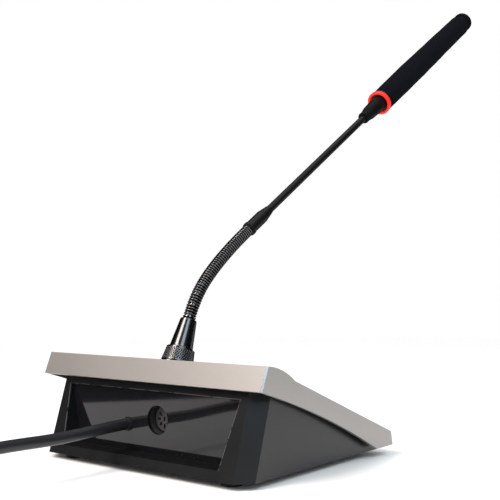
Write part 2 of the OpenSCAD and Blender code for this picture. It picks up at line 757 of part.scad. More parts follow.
// Microphone foot
module mic_socket() color("silver") on_plate(mic_v) difference() {
    union() {
        barrel(thread_d, thread_foot, thread_top);
        barrel(thread_d + 5, seat_w, seat_w + socket_flange_h);
    }
    barrel(mic_bore_d, 2 * thread_foot, 2 * thread_top);
}
module mic_socket_nut() color("silver") on_plate(mic_v) difference() {
    translate([0, 0, -cover_wall - nut_h]) cylinder(d = nut_d, h = nut_h, $fn = 6);
    barrel(thread_d + 2 * snug, 2 * thread_foot, 0);
}
module mic_socket_insert() color("black") on_plate(mic_v) difference() {
    barrel(mic_bore_d - 2 * snug, thread_foot, insert_top);
    pin_places() barrel(pin_d + 2 * slip, insert_top - pin_l - 0.4, 0);
}
module mic_plug() color("dimgray") on_plate(mic_v) difference() {
    union() {
        barrel(mic_bore_d - 2 * slip, 0, thread_top);
        barrel(collar_d, thread_top, thread_top + collar_h);
        barrel(2 * core_r, thread_top, sleeve_top + pivot_rise - link_gap);
        translate([0, 0, sleeve_top + pivot_rise - rib_pitch / 2]) neck_rib();
        translate([0, 0, sleeve_top + pivot_rise]) sphere(r = ball_r);
    }
    barrel(wire_d, 3, 2 * sleeve_top);
}
module mic_plug_pins() color("gold") on_plate(mic_v) pin_places() barrel(pin_d, -pin_l, 0);
module lock_sleeve() color("black") on_plate(mic_v) difference() {
    union() {
        taper(knurl_foot_d, knurl_top_d, sleeve_foot, knurl_top);
        taper(cone_foot_d, cone_top_d, knurl_top, sleeve_top);
    }
    barrel(sleeve_bore_d, 0, thread_top);
    barrel(collar_d + 2 * loose, 0, chamber_top);
    barrel(2 * core_r + 2 * loose, 0, 2 * sleeve_top);
}

// Gooseneck
module neck_rib() rotate_extrude() polygon([
    [wire_d, -rib_foot / 2], [core_r, -rib_foot / 2], [neck_d / 2, -rib_top / 2],
    [neck_d / 2, rib_top / 2], [core_r, rib_foot / 2], [wire_d, rib_foot / 2]
]);
module neck_link(k) color("black") translate(pivot(k - 1)) rotate([neck_angle(k - 1), 0, 0]) difference() {
    union() {
        barrel(2 * core_r, link_gap, link_l - link_gap);
        for (i = [0:link_ribs - 1]) translate([0, 0, (i + 0.5) * rib_pitch]) neck_rib();
        translate([0, 0, link_l]) sphere(r = ball_r);
    }
    sphere(r = ball_r + ball_clear);
    barrel(wire_d, -link_l, 2 * link_l);
}

// Head
module neck_ferrule() color("black") on_head() difference() {
    union() {
        barrel(2 * core_r, link_gap, flange_top);
        barrel(flange_d, flange_foot, flange_top);
        barrel(ferrule_d, flange_top, ferrule_l - ferrule_taper);
        taper(ferrule_d, stem_d + 0.6, ferrule_l - ferrule_taper, ferrule_l);
    }
    sphere(r = ball_r + ball_clear);
    barrel(wire_d, 0, ferrule_l);
    barrel(stem_d + 2 * snug, ferrule_l - stem_lap, 2 * ferrule_l);
}
module stem_tube() color("black") on_head() difference() {
    barrel(stem_d, ferrule_l - stem_lap, cone_foot + cone_seat);
    barrel(stem_bore_d, 0, 2 * cone_end);
}
module head_cone() color("black") on_head() difference() {
    union() {
        barrel(lip_d, cone_foot, cone_foot + lip_h);
        taper(cone_small_d, cone_waist_d, cone_foot + lip_h, cone_foot + lip_h + cone_waist_l);
        taper(cone_waist_d, head_cone_d, cone_foot + lip_h + cone_waist_l, cone_end);
        barrel(spigot_d, cone_end, spigot_end);
    }
    barrel(stem_d + 2 * snug, 0, cone_foot + cone_seat);
    barrel(stem_bore_d, 0, 2 * cone_end);
    barrel(spigot_d - 3, cone_end - 8, 2 * cone_end);
}
module light_ring() color("red") on_head() difference() {
    barrel(ring_d, ring_foot, ring_top);
    barrel(ring_bore_d, 0, 2 * ring_top);
}
module light_board() color("darkgreen") on_head() difference() {
    barrel(ring_d - 1.4, ring_top, tube_foot);
    barrel(spigot_d + 2 * snug, 0, 2 * ring_top);
}
module head_tube() color("dimgray") on_head() difference() {
    union() {
        barrel(ring_d - 1, tube_foot, tube_foot + tube_flange_t);
        barrel(head_tube_d, tube_foot, tube_end);
    }
    barrel(tube_bore_d, 0, 2 * tube_end);
    for (i = [0:slot_rows - 1], a = [0, 90])
        translate([0, 0, spigot_end + slot_first + i * foam_l / (slot_rows + 1.5)]) rotate([0, 0, a])
        cube([2 * head_tube_d, 2, slot_l], center = true);
}
module capsule() color("silver") on_head() barrel(tube_bore_d - 2 * slip, spigot_end, spigot_end + capsule_h);
module windscreen() color("black") on_head() difference() {
    union() {
        taper(foam_d - 2 * foam_edge, foam_d, foam_foot, foam_foot + foam_edge);
        taper(foam_d, foam_end_d, foam_foot + foam_edge, foam_end - foam_edge);
        taper(foam_end_d, foam_end_d - 2 * foam_edge, foam_end - foam_edge, foam_end);
    }
    barrel(foam_bore_d, 0, 2 * foam_end);
}
module end_cap() color("black") on_head() {
    barrel(spigot_d, tube_end - cap_spigot_h, tube_end);
    barrel(cap_neck_d, tube_end, tube_end + cap_neck_h);
    barrel(cap_d, tube_end + cap_neck_h, tube_end + cap_neck_h + cap_h);
}

top_cover();
base_shell();
rear_panel();
ballast_plate();
rubber_feet();
case_screws();
main_board();
board_parts();
board_screws();
socket_shell();
socket_insert();
socket_contacts();
cable_gland();
cord();
cord_coil();
cord_tie();
plug_body();
plug_shield();
plug_insert();
plug_pins();
speaker_cloth();
speaker_basket();
speaker_cone();
speaker_magnet();
talk_button();
switch_plunger();
talk_switch();
switch_board();
mic_socket();
mic_socket_nut();
mic_socket_insert();
mic_plug();
mic_plug_pins();
lock_sleeve();
neck_link(1);  // neck_link_1
neck_link(2);  // neck_link_2
neck_link(3);  // neck_link_3
neck_link(4);  // neck_link_4
neck_link(5);  // neck_link_5
neck_link(6);  // neck_link_6
neck_link(7);  // neck_link_7
neck_link(8);  // neck_link_8
neck_link(9);  // neck_link_9
neck_link(10);  // neck_link_10
neck_link(11);  // neck_link_11
neck_ferrule();
stem_tube();
head_cone();
light_ring();
light_board();
head_tube();
capsule();
windscreen();
end_cap();
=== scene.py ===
"""Desktop conference microphone: camera, lead, dressed pieces, finishes, light."""
from math import cos, hypot, pi, radians, sin

import bmesh
import bpy
from mathutils import Matrix, Vector


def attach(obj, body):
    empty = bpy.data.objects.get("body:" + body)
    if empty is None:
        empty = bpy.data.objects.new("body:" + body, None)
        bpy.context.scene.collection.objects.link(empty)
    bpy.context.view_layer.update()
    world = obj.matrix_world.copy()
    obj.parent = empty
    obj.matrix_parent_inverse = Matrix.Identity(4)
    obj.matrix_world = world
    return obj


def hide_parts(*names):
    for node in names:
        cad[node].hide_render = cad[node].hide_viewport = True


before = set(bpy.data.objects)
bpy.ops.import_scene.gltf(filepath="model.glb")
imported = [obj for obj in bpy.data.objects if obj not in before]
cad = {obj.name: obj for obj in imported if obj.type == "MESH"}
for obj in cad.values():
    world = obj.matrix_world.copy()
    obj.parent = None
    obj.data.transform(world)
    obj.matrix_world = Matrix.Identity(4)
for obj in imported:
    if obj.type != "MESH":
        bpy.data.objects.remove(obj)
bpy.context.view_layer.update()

MM = 0.001

# Sizes of the case in millimetres, the same as the solids
TILT = radians(22.5)
PLATE_H = 34.4
COVER_W = 149.2
PLATE_REAR = 49.4
CORNER_CUT = 0.9
FOOT_H = 3.0
FEET = [(s * 54, y) for s in (1, -1) for y in (45.979, -43.594)]
SCREWS = [(s * 60, y) for s in (1, -1) for y in (32.971, -34.094)]
SCREW_SEAT = 5.3
PANEL_Y = 43.571
BASE_REAR = 55.979
REAR_FALL = 0.3172
BAY_LOW = 7.6
BAY_HIGH = 37.7
BAY_HALF = 53.3
BAY_SLOPE = 5.2 / 30.1
SPEAKER_V = -6.0
TALK_V = -38.0

# Sizes of the microphone
MIC_V = 28.9
SLEEVE_TOP = 27.1
PIVOT_RISE = 2.0
LINK_L = 6.0
LINKS = 11
LINK_GAP = 0.4
LINK_RIBS = 4
RIB_PITCH = 1.5
BALL_R = 2.48
BENDS = (4, 5, 6, 6, 3.5, 2.7, 1.8, 1.5, 1.5, 1.2, 0.9, 0.5)

# Sizes of the lead
CORD_D = 5.5
CORD_X = 16.5
CORD_Z = 20.0
COIL_Y = 325.0
COIL_R = 36.0
COIL_PITCH = 6.5
COIL_TURNS = 3.5
COIL_DIP = 1.5
COIL_LOW = 3.65
COIL_HIGH = COIL_LOW + COIL_PITCH
COIL_OUT = COIL_R + COIL_TURNS * COIL_PITCH / 2
COIL_IN = COIL_R - COIL_TURNS * COIL_PITCH / 2
COIL_X = CORD_X + COIL_OUT
PLUG_Z = 8.5
TAIL = 24.0
PLUG_START = Vector((COIL_X + COIL_OUT, COIL_Y - 2 * CORD_D - TAIL, PLUG_Z))
GLAND_NOSE = 1.6
LEAD_IN = 4.0
CORD_START = PANEL_Y + GLAND_NOSE
CORD_END = COIL_Y - LEAD_IN
CORD_SAG = 1.1
CORD_SAG_END = 130.0
CORD_FALL = 100.0
CORD_LAND = COIL_Y - CORD_D
TIE_W = 8.0
TIE_T = 0.6

# Studio, in metres and watts
CAMERA_SPOT = (-0.3183, 0.3474, 0.0918)
CAMERA_TURN = radians(39.92), radians(1.72), radians(-0.81)
CAMERA_LENS = 64.78
WORLD_LIGHT = 0.75
FLOOR_HALF = 6.0
FADE_START = 0.34
FADE_WIDTH = 0.6
CLOTH_REACH = 2.2
CLOTH_LIFT = 0.0004
LAMPS = (
    ("warm_box", (0.30, 0.98, 1.10), (0, 0, 0.06), (0.6, 1.0), 21.0, (1.0, 0.90, 0.84)),
    ("cool_box", (-0.98, 0.60, 0.96), (0, 0, 0.06), (0.6, 0.9), 6.5, (0.74, 0.90, 1.0)),
    ("side_box", (-0.96, -0.12, 1.16), (0, 0, 0.10), (0.6, 0.6), 2.0, (0.86, 0.95, 1.0)),
)


# Frames of reference, in millimetres
def at(x, y, z):
    return Matrix.Translation((x, y, z))


def on_plate(v=0.0, w=0.0):
    return at(0, 0, PLATE_H) @ Matrix.Rotation(TILT, 4, "X") @ at(0, v, w)


def neck_frames():
    """The frame at each pivot, z up the link above it."""
    spot = on_plate(MIC_V, SLEEVE_TOP + PIVOT_RISE).translation
    lean = TILT
    frames = []
    for bend in BENDS:
        lean += radians(bend)
        frames.append(Matrix.Translation(spot) @ Matrix.Rotation(lean, 4, "X"))
        spot = spot + LINK_L * Vector((0, -sin(lean), cos(lean)))
    return frames


NECK = neck_frames()
HEAD = NECK[LINKS]
ON_PLUG = Matrix.Translation(PLUG_START) @ Matrix.Rotation(pi / 2, 4, "X")


# Shader maths: a socket with the operators that the finishes use
class Value:
    def __init__(self, nodes, socket):
        self.nodes = nodes
        self.socket = socket

    def other(self, out):
        """Another output of the same node."""
        return Value(self.nodes, self.socket.node.outputs[out])

    def _with(self, operation, *others):
        return self.nodes.maths(operation, self, *others)

    def __add__(self, other):
        return self._with("ADD", other)

    __radd__ = __add__

    def __mul__(self, other):
        return self._with("MULTIPLY", other)

    __rmul__ = __mul__

    def __sub__(self, other):
        return self._with("SUBTRACT", other)

    def __rsub__(self, other):
        return self.nodes.maths("SUBTRACT", other, self)

    def __truediv__(self, other):
        return self._with("DIVIDE", other)

    def __lt__(self, other):
        return self._with("LESS_THAN", other)

    def __gt__(self, other):
        return self._with("GREATER_THAN", other)

    def __abs__(self):
        return self._with("ABSOLUTE")

    def smaller(self, other):
        return self._with("MINIMUM", other)

    def larger(self, other):
        return self._with("MAXIMUM", other)

    def sine(self):
        return self._with("SINE")

    def power(self, other):
        return self._with("POWER", other)


class Nodes:
    """A node tree, and the one way to add a node to it."""

    def __init__(self, tree):
        self.tree = tree

    def feed(self, socket, value):
        if isinstance(value, Value):
            self.tree.links.new(value.socket, socket)
        elif socket.type == "RGBA" and len(value) == 3:
            socket.default_value = (*value, 1)
        else:
            socket.default_value = value

    def node(self, kind, settings=(), sockets=(), out=0):
        made = self.tree.nodes.new(kind)
        for key, value in dict(settings).items():
            setattr(made, key, value)
        for key, value in dict(sockets).items():
            self.feed(made.inputs[key], value)
        return Value(self, made.outputs[out])

    def maths(self, operation, *values):
        return self.node("ShaderNodeMath", {"operation": operation}, enumerate(values))


class Finish(Nodes):
    """A material, its shader and the textures that the finishes share."""

    def __init__(self, name, **shader):
        self.material = bpy.data.materials.new(name)
        self.material.use_nodes = True
        super().__init__(self.material.node_tree)
        self.shader = self.tree.nodes["Principled BSDF"]
        for socket, value in shader.items():
            self.set(socket.replace("_", " "), value)

    def set(self, socket, value):
        self.feed(self.shader.inputs[socket], value)

    def place(self):
        """The point on the piece, in metres in the object's frame."""
        return self.node("ShaderNodeTexCoord", out="Object")

    def axes(self):
        point = self.node("ShaderNodeSeparateXYZ", (), {0: self.place()})
        return [point.other(i) for i in range(3)]

    def noise(self, scale, detail=3.0, rough=0.5, where=None):
        return self.node("ShaderNodeTexNoise", (), {
            "Vector": where or self.place(), "Scale": scale, "Detail": detail, "Roughness": rough})

    def cells(self, scale):
        return self.node("ShaderNodeTexVoronoi", {"feature": "F1"}, {"Vector": self.place(), "Scale": scale})

    def stretched(self, x, y, z):
        return self.node("ShaderNodeVectorMath", {"operation": "MULTIPLY"}, {0: self.place(), 1: (x, y, z)})

    def blend(self, share, first, second):
        return self.node("ShaderNodeMix", {"data_type": "RGBA"}, {0: share, 6: first, 7: second}, out=2)

    def between(self, share, low, high):
        return share * (high - low) + low

    def bump(self, height, depth_mm, strength):
        self.set("Normal", self.node("ShaderNodeBump", (), {
            "Height": height, "Strength": strength, "Distance": depth_mm * MM}))


def satin_aluminium():
    """Fine-grained satin, with the bright cut at the rear corners."""
    f = Finish("satin_aluminium", Metallic=1.0)
    x, y, z = f.axes()
    up_slope = y * cos(TILT) + (z - PLATE_H * MM) * sin(TILT)
    from_corner = (COVER_W / 2 * MM - abs(x)) + (PLATE_REAR * MM - up_slope)
    cut = from_corner < (CORNER_CUT + 0.06) * MM
    grain = f.noise(2600, 2.0, 0.6)
    cloud = f.noise(26, 3.0, 0.55)
    satin = f.blend(grain, (0.410, 0.398, 0.381), (0.541, 0.525, 0.508))
    satin = f.blend(cloud * 0.35, satin, (0.476, 0.463, 0.451))
    f.set("Base Color", f.blend(cut, satin, (0.385, 0.345, 0.345)))
    f.set("Roughness", (f.between(grain, 0.44, 0.54) + cloud * 0.05) * (1 - cut) + cut * 0.26)
    f.bump(grain * (1 - cut), 0.05, 0.5)
    return f


def black_case():
    """Moulded black, with a painted pale highlight along the upper and side edges of the bay's mouth."""
    f = Finish("black_case")
    reach, highlight_w, face_depth = 0.3 * MM, 0.24 * MM, 0.45
    x, y, z = f.axes()
    grain = f.noise(1900, 3.0, 0.65)
    cloud = f.noise(35, 4.0, 0.6)
    beside = abs(x) - (z - BAY_LOW * MM) * BAY_SLOPE - BAY_HALF * MM
    inside = (beside < reach) * (z > BAY_LOW * MM - reach) * (z < BAY_HIGH * MM + reach)
    from_top = abs(z - BAY_HIGH * MM)
    at_face = (y + z * REAR_FALL) > (BASE_REAR + FOOT_H * REAR_FALL - face_depth) * MM
    patchy = f.noise(170, 3.0, 0.7) > 0.44
    # Painted highlight: a thin, patchy pale band along the upper and side edges of the bay's mouth.
    painted_highlight = inside * at_face * (abs(beside).smaller(from_top) < highlight_w) * patchy
    shade = f.blend(cloud, (0.004, 0.0043, 0.0048), (0.008, 0.0083, 0.009))
    # Base colour: a random dark tone, with the painted highlight's pale grey on the mouth's edges.
    f.set("Base Color", f.blend(painted_highlight * 0.8, shade, (0.11, 0.11, 0.112)))
    f.set("Roughness", f.between(grain, 0.24, 0.32) + cloud * 0.08)
    f.bump(grain, 0.03, 0.45)
    return f


def gloss_panel():
    """Close to a mirror, with faint smears and specks of dust."""
    f = Finish("gloss_panel", IOR=1.46)
    smear = f.noise(48, 5.0, 0.65, f.stretched(1, 1, 3))
    speck = (f.cells(900) < 0.07) * (f.noise(60, 2.0) > 0.60)
    f.set("Base Color", f.blend(speck * 0.5, (0.006, 0.006, 0.007), (0.16, 0.16, 0.16)))
    f.set("Roughness", f.between(smear, 0.02, 0.09) + speck * 0.3)
    return f


def gloss_sleeve():
    """Dark plating with fine marks of the lathe."""
    f = Finish("gloss_sleeve", Metallic=1.0)
    lathe = f.noise(40, 2.0, 0.5, f.stretched(1, 1, 60))
    f.set("Base Color", f.blend(lathe, (0.09, 0.09, 0.093), (0.13, 0.13, 0.133)))
    f.set("Roughness", f.between(lathe, 0.16, 0.24))
    f.bump(lathe, 0.01, 0.3)
    return f


def dark_plating():
    """Plating on the crests of the ribs, with painted shade that makes the grooves black; the grooves are
    also duller.
    """
    f = Finish("dark_plating", Metallic=1.0)
    drawn = f.noise(500, 3.0, 0.6)
    edge = f.node("ShaderNodeNewGeometry", out="Pointiness")
    # Painted shade: where Pointiness is low, in the grooves between the ribs, the base colour goes near
    # black; the roughness also rises there.
    groove_shade = ((0.56 - edge) * 9).larger(0).smaller(1)
    plate = f.blend(drawn, (0.17, 0.17, 0.173), (0.23, 0.23, 0.233))
    f.set("Base Color", f.blend(groove_shade, plate, (0.008, 0.008, 0.009)))
    f.set("Roughness", f.between(drawn, 0.09, 0.15) + groove_shade * 0.3)
    f.bump(drawn, 0.01, 0.3)
    return f


def black_paint(name, shine):
    f = Finish(name, Specular_IOR_Level=shine)
    orange_peel = f.noise(1400, 2.0, 0.5)
    cloud = f.noise(60, 3.0)
    f.set("Base Color", f.blend(cloud, (0.005, 0.0047, 0.0047), (0.009, 0.0086, 0.0086)))
    f.set("Roughness", f.between(orange_peel, 0.24, 0.36))
    f.bump(orange_peel, 0.012, 0.35)
    return f


def open_foam():
    f = Finish("open_foam", Sheen_Weight=0.006, Sheen_Roughness=0.6, Specular_IOR_Level=0.02)
    pores = f.cells(1500)
    fine = f.noise(2600, 3.0, 0.7)
    cloud = f.noise(70, 3.0)
    body = f.blend(pores.power(0.7), (0.0015, 0.002, 0.0032), (0.006, 0.007, 0.010))
    f.set("Base Color", f.blend(cloud * 0.5, body, (0.004, 0.005, 0.008)))
    f.set("Roughness", f.between(fine, 0.85, 1.0))
    f.bump(pores * 0.7 + fine * 0.3, 0.30, 0.8)
    return f


def lit_ring():
    f = Finish("lit_ring", Emission_Strength=0.45)
    cloud = f.noise(300, 2.0)
    f.set("Base Color", f.blend(cloud, (0.78, 0.012, 0.008), (0.88, 0.018, 0.012)))
    f.set("Emission Color", f.blend(cloud, (0.98, 0.020, 0.012), (1.0, 0.028, 0.018)))
    f.set("Roughness", f.between(cloud, 0.30, 0.42))
    return f


def jacket():
    f = Finish("jacket", IOR=1.5)
    skin = f.noise(900, 3.0, 0.6)
    cloud = f.noise(45, 3.0)
    f.set("Base Color", f.blend(cloud, (0.008, 0.0084, 0.0096), (0.013, 0.0138, 0.016)))
    f.set("Roughness", f.between(skin, 0.34, 0.46) + cloud * 0.05)
    f.bump(skin, 0.03, 0.3)
    return f


def rubber():
    f = Finish("rubber", Specular_IOR_Level=0.35)
    skin = f.noise(700, 4.0, 0.65)
    f.set("Base Color", f.blend(skin, (0.010, 0.010, 0.010), (0.024, 0.024, 0.024)))
    f.set("Roughness", f.between(skin, 0.62, 0.82))
    f.bump(skin, 0.05, 0.5)
    return f


def moulded(name, dark, light, low, high):
    """Plastic between two shades, with its roughness from low to high."""
    f = Finish(name)
    grain = f.noise(1700, 3.0, 0.6)
    cloud = f.noise(80, 3.0)
    f.set("Base Color", f.blend(cloud, dark, light))
    f.set("Roughness", f.between(grain, low, high))
    f.bump(grain, 0.03, 0.4)
    return f


def bare_metal(name, dark, light, low, high):
    """Drawn metal between two shades, with its roughness from low to high."""
    f = Finish(name, Metallic=1.0)
    drawn = f.noise(300, 3.0, 0.6, f.stretched(1, 1, 8))
    cloud = f.noise(120, 3.0)
    f.set("Base Color", f.blend(cloud, dark, light))
    f.set("Roughness", f.between(drawn, low, high))
    f.bump(drawn, 0.01, 0.3)
    return f


def woven_cloth():
    f = Finish("woven_cloth", Sheen_Weight=0.3, Specular_IOR_Level=0.2)
    x, y, _ = f.axes()
    warp = 2 * pi / (0.7 * MM)
    weft = warp * 1.08
    weave = (x * warp).sine() * (y * weft).sine() * 0.5 + 0.5
    f.set("Base Color", f.blend(weave, (0.006, 0.006, 0.007), (0.030, 0.030, 0.032)))
    f.set("Roughness", f.between(weave, 0.80, 0.95))
    f.bump(weave, 0.12, 0.7)
    return f


def strap():
    f = Finish("strap", Sheen_Weight=0.4, Specular_IOR_Level=0.2)
    loops = f.cells(1900)
    cloud = f.noise(150, 3.0)
    f.set("Base Color", f.blend(loops, (0.008, 0.008, 0.009), (0.035, 0.035, 0.038)))
    f.set("Roughness", f.between(cloud, 0.85, 0.98))
    f.bump(loops, 0.2, 0.7)
    return f


def circuit_board():
    f = Finish("circuit_board", Specular_IOR_Level=0.5)
    x, y, _ = f.axes()
    lines = ((x * 2600).sine() > 0.82).larger((y * 2100).sine() > 0.86)
    tracks = lines * (f.noise(140, 1.0) > 0.5)
    f.set("Base Color", f.blend(tracks, (0.010, 0.075, 0.030), (0.030, 0.16, 0.07)))
    f.set("Roughness", f.between(f.noise(400), 0.28, 0.40))
    f.bump(tracks, 0.04, 0.5)
    return f


finishes = {
    "aluminium": satin_aluminium(),
    "case": black_case(),
    "panel": gloss_panel(),
    "sleeve": gloss_sleeve(),
    "paint": black_paint("black_paint", 0.2),
    "alloy": black_paint("black_alloy", 0.04),
    "neck": dark_plating(),
    "foam": open_foam(),
    "ring": lit_ring(),
    "jacket": jacket(),
    "rubber": rubber(),
    "cloth": woven_cloth(),
    "strap": strap(),
    "board": circuit_board(),
    "insert": moulded("insert_black", (0.014, 0.014, 0.015), (0.026, 0.026, 0.027), 0.40, 0.52),
    "socket": moulded("socket_grey", (0.032, 0.032, 0.033), (0.050, 0.050, 0.051), 0.45, 0.58),
    "plug": moulded("plug_black", (0.012, 0.012, 0.013), (0.022, 0.022, 0.024), 0.38, 0.50),
    "key": moulded("key_grey", (0.085, 0.09, 0.096), (0.12, 0.125, 0.13), 0.40, 0.52),
    "ivory": moulded("ivory", (0.58, 0.55, 0.48), (0.68, 0.65, 0.58), 0.40, 0.55),
    "plated": bare_metal("plated", (0.52, 0.52, 0.52), (0.66, 0.66, 0.66), 0.20, 0.32),
    "steel": bare_metal("steel", (0.36, 0.36, 0.37), (0.48, 0.48, 0.49), 0.34, 0.48),
    "gold": bare_metal("gold_contact", (0.62, 0.46, 0.20), (0.76, 0.58, 0.27), 0.22, 0.34),
    "dull": bare_metal("dull_contact", (0.20, 0.20, 0.20), (0.30, 0.30, 0.30), 0.34, 0.46),
}


# Mesh makers, in millimetres
def soften(line, r, steps=4):
    """A profile with each inner corner rounded to about r."""
    out = [line[0]]
    for a, b, c in zip(line, line[1:], line[2:]):
        (ax, ay), (bx, by), (cx, cy) = a, b, c
        la, lc = hypot(ax - bx, ay - by), hypot(cx - bx, cy - by)
        cut = min(r, 0.45 * la, 0.45 * lc)
        if cut < 0.01:
            out.append(b)
            continue
        p = (bx + (ax - bx) * cut / la, by + (ay - by) * cut / la)
        q = (bx + (cx - bx) * cut / lc, by + (cy - by) * cut / lc)
        for i in range(steps + 1):
            t = i / steps
            out.append(tuple((1 - t) ** 2 * p[k] + 2 * t * (1 - t) * b[k] + t * t * q[k] for k in (0, 1)))
    out.append(line[-1])
    return out


def circle(r, z, sides):
    return [(r * cos(2 * pi * j / sides), r * sin(2 * pi * j / sides), z) for j in range(sides)]


def loft(rows, closed_rows=False):
    """Rings of points joined into a skin; each ring closes on itself."""
    n = len(rows[0])
    verts = [p for row in rows for p in row]
    count = len(rows) if closed_rows else len(rows) - 1
    faces = []
    for i in range(count):
        for j in range(n):
            a, b = i * n + j, i * n + (j + 1) % n
            k = (i + 1) % len(rows) * n
            faces.append((a, b, k + (j + 1) % n, k + j))
    return verts, faces


def turned(profile, sides):
    """A profile of (radius, height) turned about the z axis, pole to pole or rim to rim."""
    return loft([circle(r, z, sides) for r, z in profile])


def several(*parts):
    verts, faces = [], []
    for v, f in parts:
        n = len(verts)
        verts += list(v)
        faces += [tuple(i + n for i in face) for face in f]
    return verts, faces


def moved(part, place):
    verts, faces = part
    return [place @ Vector(v) for v in verts], faces


def capped(rows):
    """A loft with its first and last rings closed."""
    verts, faces = loft(rows)
    n = len(rows[0])
    last = len(verts) - n
    return verts, faces + [tuple(range(n - 1, -1, -1)), tuple(range(last, last + n))]


def make(name, part, finish, body, stands_for, place=Matrix(), sharp=35, *, slot):
    """A dressed piece on a body, in place of CAD nodes."""
    mesh = bpy.data.meshes.new(name)
    mesh.from_pydata([tuple(v) for v in part[0]], [], part[1])
    work = bmesh.new()
    work.from_mesh(mesh)
    bmesh.ops.remove_doubles(work, verts=work.verts, dist=0.0005)
    bmesh.ops.dissolve_degenerate(work, edges=work.edges, dist=0.0002)
    bmesh.ops.recalc_face_normals(work, faces=work.faces)
    work.to_mesh(mesh)
    work.free()
    mesh.transform(Matrix.Scale(MM, 4) @ place)
    mesh.polygons.foreach_set("use_smooth", [True] * len(mesh.polygons))
    mesh.set_sharp_from_angle(angle=radians(sharp))
    mesh.materials.append(finishes[finish].material)
    made = bpy.data.objects.new(name, mesh)
    bpy.context.collection.objects.link(made)
    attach(made, body)
    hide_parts(*stands_for)
    return made


# Camera, as fitted to the photograph
def make_camera():
    yaw, pitch, roll = CAMERA_TURN
    look = Vector((sin(yaw) * cos(pitch), -cos(yaw) * cos(pitch), sin(pitch)))
    side = look.cross(Vector((0, 0, 1))).normalized()
    up = side.cross(look)
    right = cos(roll) * side + sin(roll) * up
    above = cos(roll) * up - sin(roll) * side
    lens = bpy.data.cameras.new("view")
    lens.sensor_width = 36
    lens.lens = CAMERA_LENS
    lens.clip_start = 0.01
    camera = bpy.data.objects.new("view", lens)
    turn = Matrix((right, above, -look)).transposed().to_4x4()
    camera.matrix_world = Matrix.Translation(CAMERA_SPOT) @ turn
    bpy.context.collection.objects.link(camera)
    bpy.context.scene.camera = camera


make_camera()


# Lead
def ease(x):
    x = min(max(x, 0), 1)
    return x * x * (3 - 2 * x)


def route_point(t):
    """Straight out of the gland with a slight sag, then a long slow fall to the table."""
    y = CORD_START + (CORD_END - CORD_START) * t
    sag = CORD_SAG * sin(pi * min((y - CORD_START) / (CORD_SAG_END - CORD_START), 1)) ** 2
    drop = ease((y - CORD_FALL) / (CORD_LAND - CORD_FALL))
    return Vector((CORD_X, y, CORD_Z - sag - (CORD_Z - COIL_LOW) * drop))


def coil_point(u):
    """Turn u of the coil: inwards on the table, a step up, and outwards on top."""
    if u <= COIL_TURNS:
        r = COIL_OUT - COIL_PITCH * u
    elif u <= COIL_TURNS + 0.5:
        r = COIL_IN - COIL_DIP * sin(2 * pi * (u - COIL_TURNS))
    else:
        r = COIL_IN + COIL_PITCH * (u - COIL_TURNS - 0.5)
    turn = pi - 2 * pi * u
    z = COIL_LOW + COIL_PITCH * ease(2 * (u - COIL_TURNS))
    return Vector((COIL_X + r * cos(turn), COIL_Y + r * sin(turn), z))


def lead_line(route_steps=48, turn_steps=40, tail_steps=8):
    line = [route_point(i / route_steps) for i in range(route_steps)]
    coil_steps = int((2 * COIL_TURNS + 0.5) * turn_steps)
    line += [coil_point(i / turn_steps) for i in range(coil_steps + 1)]
    for i in range(tail_steps + 1):
        s = i / tail_steps
        line.append(Vector((PLUG_START.x, COIL_Y - CORD_D - TAIL * s,
                            COIL_HIGH + (PLUG_Z - COIL_HIGH) * ease(s))))
    return line + [PLUG_START]


def tube(line, d, sides):
    rows = []
    for i, p in enumerate(line):
        along = (line[min(i + 1, len(line) - 1)] - line[max(i - 1, 0)]).normalized()
        side = along.cross(Vector((0, 0, 1))).normalized()
        up = side.cross(along)
        rows.append([p + x * side + y * up for x, y, _ in circle(d / 2, 0, sides)])
    return capped(rows)


LEAD = lead_line()
lead = make("lead", tube(LEAD, CORD_D, 14), "jacket", "base", ("cord", "cord_coil"), slot="black_jacket")


def rounded_box(w, h, r, corner=6):
    """A rounded rectangle in the x-z plane, centred."""
    out = []
    for cx, cz, start in ((w / 2 - r, h / 2 - r, 0), (r - w / 2, h / 2 - r, 90),
                          (r - w / 2, r - h / 2, 180), (w / 2 - r, r - h / 2, 270)):
        for i in range(corner + 1):
            a = radians(start + 90 * i / corner)
            out.append((cx + r * cos(a), cz + r * sin(a)))
    return out


def strap_band():
    """A flat band round the coil, with soft edges."""
    slack_in, slack_out, slack_over = 1.4, 0.6, 0.3
    bend_r, soft = 1.3, 0.25
    inner, outer = COIL_IN - CORD_D / 2 - slack_in, COIL_OUT + CORD_D / 2 + slack_out
    top = COIL_HIGH + CORD_D / 2 + slack_over
    middle = Vector(((inner + outer) / 2, 0, (top + TIE_T) / 2))
    outside = rounded_box(outer - inner + 2 * TIE_T, top + TIE_T, bend_r + TIE_T)
    inside = rounded_box(outer - inner, top - TIE_T, bend_r)
    flat = TIE_W / 2 - soft
    rows = []
    for ring, y in ((outside, -flat), (outside, flat), (inside, flat), (inside, -flat)):
        rows.append([middle + Vector((x, y, z)) for x, z in ring])
    edge = [[(a + b) / 2 + Vector((0, s * soft, 0)) for a, b in zip(rows[i], rows[k])]
            for i, k, s in ((1, 2, 1), (3, 0, -1))]
    return loft([rows[0], rows[1], edge[0], rows[2], rows[3], edge[1]], closed_rows=True)


tie = make("lead_tie", strap_band(), "strap", "base", ("cord_tie",),
           at(COIL_X, COIL_Y, 0) @ Matrix.Rotation(pi / 4, 4, "Z"), slot="black_jacket")


